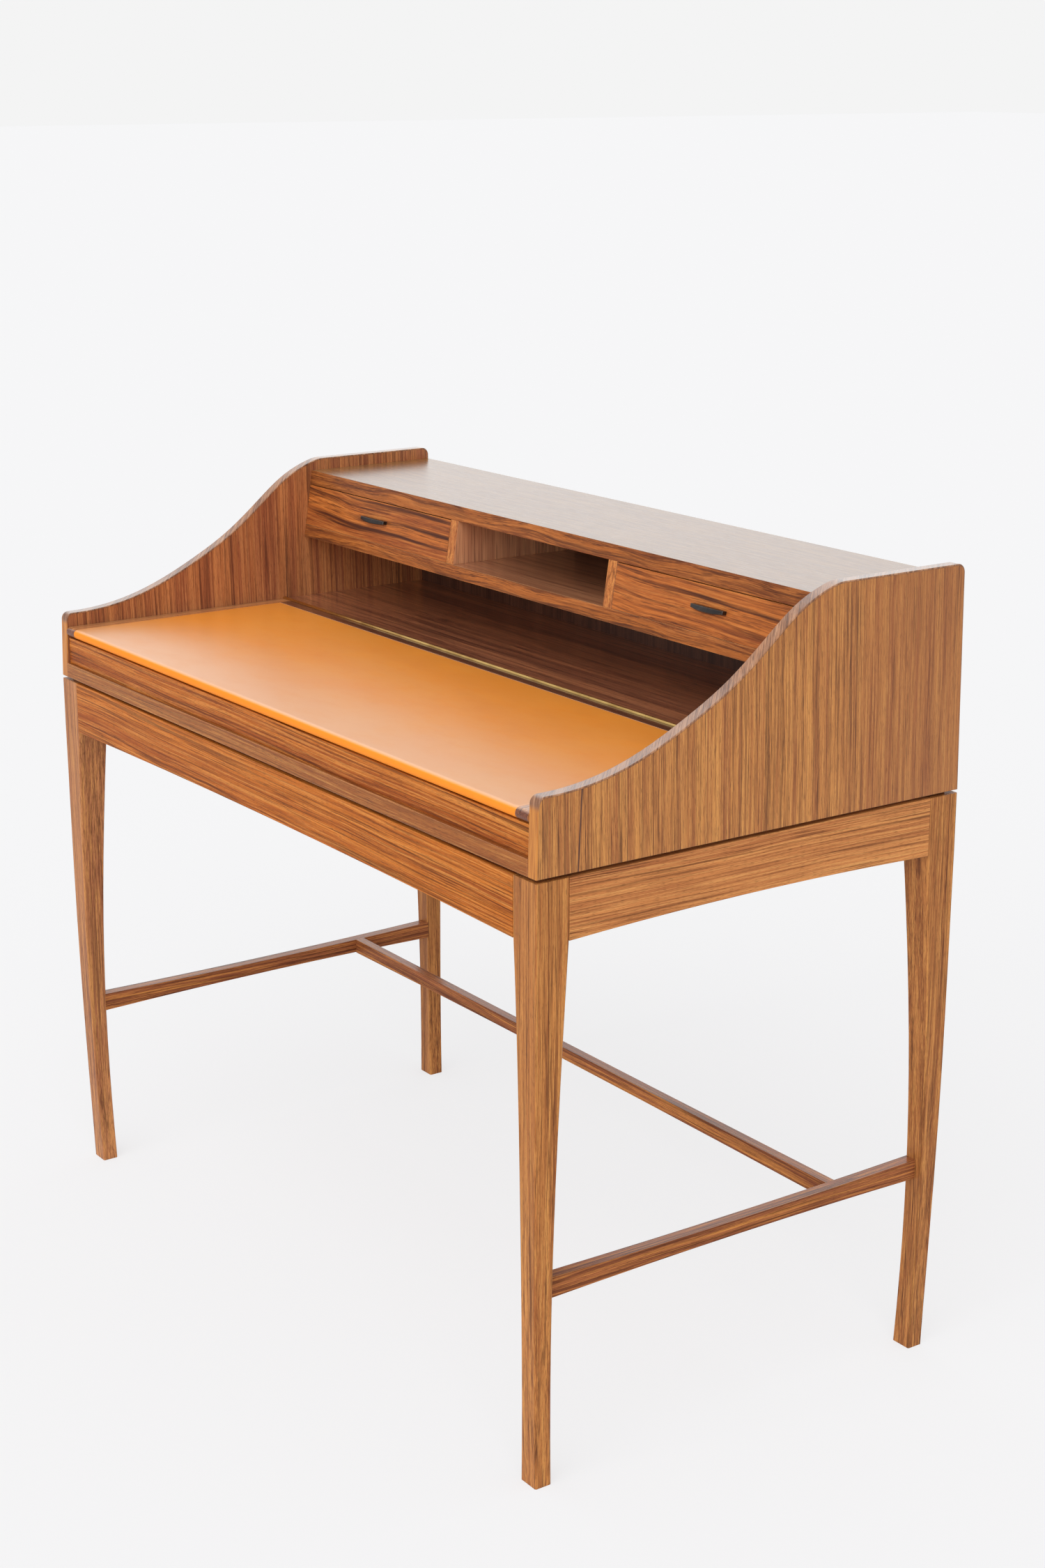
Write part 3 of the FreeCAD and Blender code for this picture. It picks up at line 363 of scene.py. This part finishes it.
woodOf = {  # node: look, way of the grain, what is added
    "leg_front_left": (paleLitLegLook, "z"), "leg_front_right": (legLook, "z"),
    "leg_back_left": (shadedBackLegLook, "z"), "leg_back_right": (shadedBackLegLook, "z"),
    "apron_front": (railLook, "x"), "apron_back": (railLook, "x"),
    "apron_left": (sideRailLook, "y"), "apron_right": (sideRailLook, "y"),
    "stretcher_left": (barLook, "y"), "stretcher_right": (barLook, "y"), "stretcher_long": (barLook, "x"),
    # painted shade: the battens in the shadow gap take the dark wood
    "batten_front": (darkLook, "x"), "batten_back": (darkLook, "x"),
    "batten_left": (darkLook, "y"), "batten_right": (darkLook, "y"),
    "case_bottom": (sillLook, "x"), "front_board": (boardLook, "x"), "rear_desk": (deskLook, "x"),
    "back_panel": (shadedBackLook, "z", veneered(rearward)),
    "gallery_shelf": (shelfLook, "x", veneered(dusky)), "gallery_top": (topLook, "x", veneered(calm)),
    "side_panel_left": (sideLook, "z"), "side_panel_right": (panelLook, "z", veneerSeam),
    "side_band_left": (bandLook, "z", uprightEdge), "side_band_right": (bandLook, "z", uprightEdge),
    "lid_rest_left": (darkLook, "y"), "lid_rest_right": (darkLook, "y"),
    "divider_left": (postLook, "z", veneered(upright)), "divider_right": (postLook, "z", veneered(upright)),
    "lid_end_left": (capLook, "y", endGrain), "lid_end_right": (capLook, "y", endGrain),
    "lid_rear_rail": (lidLook, "x"), "lid_core": (boxLook, "x"),
    "drawer_left_front": (figureLook, "x"), "drawer_right_front": (figureLook, "x"),
}
for side in ("left", "right"):
    for board, grain in (("inner_side", "y"), ("outer_side", "y"), ("back", "x"), ("bottom", "x")):
        woodOf["drawer_" + side + "_" + board] = (boxLook, grain)

cut = {"seed": 7, "reach": 3.0}    # each board is cut from another place of the same log, so many metres off
turn = np.random.default_rng(cut["seed"])
for name, (look, grain, *extra) in woodOf.items():
    shift = [float(step) for step in turn.uniform(-cut["reach"], cut["reach"], 3)]
    dress(name, woodFinish("wood_" + name, look, grain, shift, *extra))
print("wood:", len(woodOf), "boards")


brass = {
    "colour": tint(214, 178, 108), "worn": tint(176, 138, 76), "wornShows": (0.35, 0.75),
    "cloud": (30.0, 60.0), "brushed": (40.0, 2600.0),    # how many in a metre along the barrel and across it
    "gloss": 0.32, "glossPlay": 0.14, "relief": 0.08, "reliefDeep": 0.0002,
}
# the pulls' lighter edge tone is a painted highlight along their arrises
blackened = {"colour": tint(70, 68, 68), "edgeTone": tint(160, 152, 144), "gloss": 0.40}
steel = {"colour": tint(150, 148, 146), "edgeTone": tint(110, 108, 106), "gloss": 0.34}
forged = {  # what the pulls and the screws share
    "cloud": 140.0, "cloudShows": (0.5, 0.8), "cloudStrength": 0.12, "grit": 2200.0,
    "round": 0.0008, "edge": 0.55, "glossPlay": 0.16, "relief": 0.10, "reliefDeep": 0.0002,
}


def brassFinish():
    material, wire, shader = newFinish("brass_barrel")
    x, y, z = wire.add("TexCoord", {}, {}, "Object").split()
    along, across = brass["cloud"]
    cloud = wire.point(x * along, y * across, z * across).noise(1.0, 3.0)
    along, across = brass["brushed"]
    brushed = wire.point(x * along, y * across, z * across).noise(1.0, 2.0)
    colour = cloud.step(*brass["wornShows"]).over(brass["colour"], brass["worn"])
    relief = wire.add("Bump", {}, {"Strength": brass["relief"], "Distance": brass["reliefDeep"],
                                   "Height": brushed})
    roughness = brass["gloss"] + (cloud - 0.5) * brass["glossPlay"]
    feed(wire, shader, Base_Color=colour, Roughness=roughness, Normal=relief)
    fix(shader, Metallic=1.0)
    return material


def forgedFinish(name, metal):
    material, wire, shader = newFinish(name)
    place = wire.add("TexCoord", {}, {}, "Object")
    cloud = place.noise(forged["cloud"], 3.0)
    grit = place.noise(forged["grit"], 2.0)
    rounded, edgeTone = arris(wire, forged["round"])
    # edge tone: a painted highlight on the pulls' arrises and a darker edge on the screws; the cloud is the
    # metal's own mottling
    worn = edgeTone * forged["edge"] + cloud.step(*forged["cloudShows"]) * forged["cloudStrength"]
    colour = worn.over(metal["colour"], metal["edgeTone"])
    relief = wire.add("Bump", {}, {"Strength": forged["relief"], "Distance": forged["reliefDeep"],
                                   "Height": grit, "Normal": rounded})
    roughness = metal["gloss"] + (cloud - 0.5) * forged["glossPlay"]
    feed(wire, shader, Base_Color=colour, Roughness=roughness, Normal=relief)
    fix(shader, Metallic=1.0)
    return material


hingeBrass = brassFinish()
pullMetal = forgedFinish("pull_metal", blackened)
screwSteel = forgedFinish("screw_steel", steel)
hingePieces = ("hinge_leaf_fixed", "hinge_leaf_lid", "hinge_pin", "hinge_screws_fixed", "hinge_screws_lid")
metalOf = {name: hingeBrass for name in hingePieces}
metalOf["case_screws"] = screwSteel
for side in ("left", "right"):
    metalOf["drawer_" + side + "_pull"] = pullMetal
    metalOf["drawer_" + side + "_pull_screws"] = screwSteel
for name, finish in metalOf.items():
    dress(name, finish)
print("metal:", len(metalOf), "pieces")


hide = {
    "thick": 0.0015, "nose": 0.006, "tuck": 0.011, "rim": 0.0009,
    "acrossSteps": 200, "topSteps": 70, "noseSteps": 24, "rimSteps": 5,
    "colour": tint(252, 155, 48), "pale": tint(253, 162, 58), "deep": tint(241, 141, 38),
    "cloud": (5.0, 9.0), "blotch": (26.0, 40.0), "smear": (14.0, 30.0),    # in a metre, lengthwise and across
    "cells": 950.0, "fine": 2600.0,                                        # in a metre, any way
    "paleShows": (0.35, 0.7), "deepShows": (0.45, 0.75), "deepStrength": 0.25,
    "crease": 0.16, "creaseStrength": 0.10,
    # painted sheen: a paler tone on the flat towards the front
    "sheenTint": tint(226, 172, 124), "sheenReach": 0.18, "sheenFaces": (0.5, 0.95), "sheenStrength": 0.5,
    # painted shade: a deeper orange on the nose, which faces the key lamp
    "noseShade": tint(230, 125, 40), "noseShadeFaces": (0.9, 0.4), "noseShadeStrength": 0.6,
    "cut": tint(240, 190, 160), "cutReach": (0.0024, 0.0014), "cutStrength": 0.8,
    "relief": 0.16, "reliefDeep": 0.0003, "cellEdge": 0.3, "fineDeep": 0.3,
    "gloss": 0.40, "glossPlay": 0.10, "bend": 1.10,
    "waxed": (0.6, 0.96), "smearShows": (0.42, 0.70), "smearStrength": 0.14,
    "coatGloss": 0.31, "coatBend": 2.4,
}


def sleeveMesh(name, outer, inner):
    # two faces of one sheet, outer[i, j] and inner[i, j], sewn together along all four rims
    count, wide = outer.shape[:2]
    spots = np.stack([outer, inner]).reshape(-1, 3)
    number = np.arange(len(spots)).reshape(2, count, wide)
    number[1, [0, -1]] = number[0, [0, -1]]
    number[1, :, [0, -1]] = number[0, :, [0, -1]]
    quads = np.stack([number[:, :-1, :-1], number[:, 1:, :-1], number[:, 1:, 1:], number[:, :-1, 1:]], -1)
    quads[1] = quads[1, ..., ::-1]
    used, quads = np.unique(quads.reshape(-1), return_inverse=True)
    mesh = bpy.data.meshes.new(name)
    mesh.from_pydata(spots[used].tolist(), [], quads.reshape(-1, 4).tolist())
    mesh.shade_smooth()
    piece = bpy.data.objects.new(name, mesh)
    bpy.context.scene.collection.objects.link(piece)
    return piece


def evenRim(length, rim, steps, rimSteps):  # places along an edge, close together where the rim is rounded
    turned = rim * (1 - np.cos(np.linspace(0, math.pi / 2, rimSteps)))
    inside = np.linspace(rim, length - rim, steps)
    return np.concatenate([turned[:-1], inside, length - turned[::-1][1:]])


def leatherSheet():
    # the middle of the hide runs flat, round a half circle and back under: p(s), with normal n(s);
    # both faces stand off it by half the thickness times sqrt(1 - (1 - rim distance)^2)
    low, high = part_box("lid_leather")
    half = hide["thick"] / 2
    bend = hide["nose"] - half
    centre = Vector((0, low.y + hide["nose"], high.z - hide["nose"]))
    top = high.y - centre.y
    arc = math.pi * bend
    whole = top + arc + hide["tuck"]
    s = evenRim(whole, hide["rim"], hide["topSteps"] + hide["noseSteps"], hide["rimSteps"])
    s = np.unique(np.concatenate([s, np.linspace(top, top + arc, hide["noseSteps"] * 2)]))
    u = evenRim(high.x - low.x, hide["rim"], hide["acrossSteps"], hide["rimSteps"])
    angle = np.clip((s - top) / bend, 0, math.pi)
    y = np.where(s < top, high.y - s, centre.y - bend * np.sin(angle))
    y = np.where(s > top + arc, centre.y + (s - top - arc), y)
    z = centre.z + bend * np.cos(angle)
    normal = np.stack([-np.sin(angle), np.cos(angle)], -1)
    rimS = np.clip(np.minimum(s, whole - s) / hide["rim"], 0, 1)
    rimU = np.clip(np.minimum(u, u[-1] - u) / hide["rim"], 0, 1)
    full = np.sqrt(1 - (1 - rimU[:, None]) ** 2) * np.sqrt(1 - (1 - rimS[None]) ** 2) * half
    side = np.array([1.0, -1.0])[:, None, None]
    faceY = y + side * full * normal[:, 0]
    faceZ = z + side * full * normal[:, 1]
    faceX = np.broadcast_to((low.x + u)[:, None], full.shape)
    outer = np.stack([faceX, faceY[0], faceZ[0]], -1)
    inner = np.stack([faceX, faceY[1], faceZ[1]], -1)
    return sleeveMesh("lid_hide", outer, inner), u[-1], whole


def leatherFinish():
    material, wire, shader = newFinish("tan_leather")
    place = wire.add("TexCoord", {}, {}, "Object")
    x, y, z = place.split()

    def spread(kind):  # the leather's patches are longer along the lid than across it
        along, across = hide[kind]
        return wire.point(x * along, y * across, z * across)

    cloud = spread("cloud").noise(1.0, 4.0, 0.6)
    blotch = spread("blotch").noise(1.0, 3.0, 0.6)
    smear = spread("smear").noise(1.0, 4.0, 0.65)
    cells = wire.add("TexVoronoi", {"feature": "DISTANCE_TO_EDGE"}, {"Vector": place, "Scale": hide["cells"]})
    crease = cells.step(hide["crease"], 0.0)
    fine = place.noise(hide["fine"], 2.0)
    low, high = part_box("lid_leather")
    upward = facing(wire)[2]
    sheenMask = y.step(low.y + hide["sheenReach"], low.y) * upward.step(*hide["sheenFaces"])    # painted sheen: a paler, greyer tone on the flat towards the front
    rim = y.step(*(high.y - reach for reach in hide["cutReach"]))
    colour = cloud.step(*hide["paleShows"]).over(hide["colour"], hide["pale"])
    colour = (blotch.step(*hide["deepShows"]) * hide["deepStrength"]).over(colour, hide["deep"])
    colour = (crease * hide["creaseStrength"]).over(colour, hide["deep"])
    colour = (sheenMask * hide["sheenStrength"]).over(colour, hide["sheenTint"])
    # painted shade on the nose, which faces the key lamp
    colour = (upward.step(*hide["noseShadeFaces"]) * hide["noseShadeStrength"]).over(colour, hide["noseShade"])
    colour = (rim * hide["cutStrength"]).over(colour, hide["cut"])
    height = cells.step(0.0, hide["cellEdge"]) + fine * hide["fineDeep"]
    relief = wire.add("Bump", {}, {"Strength": hide["relief"], "Distance": hide["reliefDeep"],
                                   "Height": height})
    roughness = hide["gloss"] + (blotch - 0.5) * hide["glossPlay"]
    wax = upward.step(*hide["waxed"])    # the flat is waxed, the nose is bare
    wax = wax * (1 - smear.step(*hide["smearShows"]) * hide["smearStrength"])
    feed(wire, shader, Base_Color=colour, Roughness=roughness, Normal=relief, Coat_Weight=wax)
    fix(shader, IOR=hide["bend"], Coat_Roughness=hide["coatGloss"], Coat_IOR=hide["coatBend"])
    return material


leather, hideWide, hideLong = leatherSheet()
leather.data.materials.append(leatherFinish())
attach(leather, "lid")
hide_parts("lid_leather")
print("leather:", len(leather.data.polygons), "faces")


studio = {
    "paper": tint(244, 244, 245), "far": 60.0, "count": 3, "glow": 1.016,
    "shadow": 0.25,                                  # share of the floor that takes real light
    "dome": 0.68, "shineBehind": 1.12, "shineBefore": 0.2,    # and as mirrored, behind the desk and before it
    "behind": (-0.82, 0.57, 0.0), "shineTurns": (-0.3, 0.7),
    "key": {"azimuth": 34.0, "elevation": 30.0, "spread": 76.0, "power": 2.2},
}


def wayTo(azimuth, elevation):  # unit vector towards a place round the desk; azimuth 0 is before it
    return Vector((math.sin(azimuth) * math.cos(elevation), -math.cos(azimuth) * math.cos(elevation),
                   math.sin(elevation)))


def rayFromEye(wire):  # 1 where the eye, a reflection or glass looks at the paper
    rays = wire.add("LightPath", {}, {}, "Is Camera Ray")
    path = rays.socket.node
    for kind in ("Is Glossy Ray", "Is Transmission Ray"):
        rays = rays.most(Wire(wire.tree, path.outputs[kind]))
    return rays


def paperFloor():  # flat square grid under the feet, z = 0
    far, count = studio["far"], studio["count"]
    x, y = np.meshgrid(np.linspace(-far, far, count), np.linspace(-far, far, count))
    spots = np.stack([x, y, np.zeros_like(x)], -1).reshape(-1, 3)
    number = np.arange(count * count).reshape(count, count)
    quads = np.stack([number[:-1, :-1], number[:-1, 1:], number[1:, 1:], number[1:, :-1]], -1)
    mesh = bpy.data.meshes.new("paper_floor")
    mesh.from_pydata(spots.tolist(), [], quads.reshape(-1, 4).tolist())
    floor = bpy.data.objects.new("paper_floor", mesh)
    bpy.context.scene.collection.objects.link(floor)
    material, wire, shader = newFinish("paper")
    wire.tree.nodes.remove(shader)
    matte = wire.add("BsdfDiffuse", {}, {"Color": studio["paper"]})
    glow = wire.add("Emission", {}, {"Color": studio["paper"], "Strength": studio["glow"]})
    mixed = wire.add("MixShader", {}, {0: rayFromEye(wire) * (1 - studio["shadow"]), 1: matte, 2: glow})
    wire.tree.links.new(mixed.socket, wire.tree.nodes["Material Output"].inputs["Surface"])
    mesh.materials.append(material)


def skyDome():
    world = bpy.data.worlds.new("studio_dome")
    bpy.context.scene.world = world
    world.use_nodes = True
    wire = Wire(world.node_tree)
    seen = wire.add("LightPath", {}, {}, "Is Camera Ray")
    mirrored = rayFromEye(wire) - seen
    way = wire.add("TexCoord", {}, {}, "Generated")
    behind = wire.add("VectorMath", {"operation": "DOT_PRODUCT"}, {0: way, 1: studio["behind"]}, "Value")
    gain = studio["shineBehind"] - studio["shineBefore"]
    shine = behind.step(*studio["shineTurns"]) * gain + studio["shineBefore"]
    back = world.node_tree.nodes["Background"]
    back.inputs["Color"].default_value = (1.0, 1.0, 1.0, 1.0)
    level = seen * studio["paper"][1] + mirrored * shine + (1 - seen - mirrored) * studio["dome"]
    wire.tree.links.new(level.socket, back.inputs["Strength"])


def softLamp(name, lamp):  # one wide soft lamp, as far off as a window
    light = bpy.data.lights.new(name, "SUN")
    light.angle = math.radians(lamp["spread"])
    light.energy = lamp["power"]
    stand = bpy.data.objects.new(name, light)
    way = wayTo(math.radians(lamp["azimuth"]), math.radians(lamp["elevation"]))
    stand.rotation_euler = way.to_track_quat("Z", "Y").to_euler()
    bpy.context.scene.collection.objects.link(stand)


paperFloor()
skyDome()
softLamp("key_lamp", studio["key"])
print("studio: floor, dome and lamp")


eye = {"place": (2.43112, -1.62376, 1.42249), "azimuth": 55.067, "elevation": 15.748, "roll": -0.094,
       "lens": 58.31, "film": 36.0}


def setCamera():
    turned, raised, rolled = (math.radians(eye[key]) for key in ("azimuth", "elevation", "roll"))
    back = wayTo(turned, raised)
    level = (-back).cross(Vector((0, 0, 1))).normalized()
    rise = level.cross(-back)
    right = level * math.cos(rolled) + rise * math.sin(rolled)
    up = rise * math.cos(rolled) - level * math.sin(rolled)
    data = bpy.data.cameras.new("eye")
    data.lens = eye["lens"]
    data.sensor_fit = "AUTO"
    data.sensor_width = eye["film"]
    camera = bpy.data.objects.new("eye", data)
    turn = Matrix((right, up, back)).transposed().to_4x4()
    camera.matrix_world = Matrix.Translation(Vector(eye["place"])) @ turn
    bpy.context.scene.collection.objects.link(camera)
    bpy.context.scene.camera = camera


setCamera()
bpy.context.scene.view_settings.view_transform = "Standard"
print("camera set")
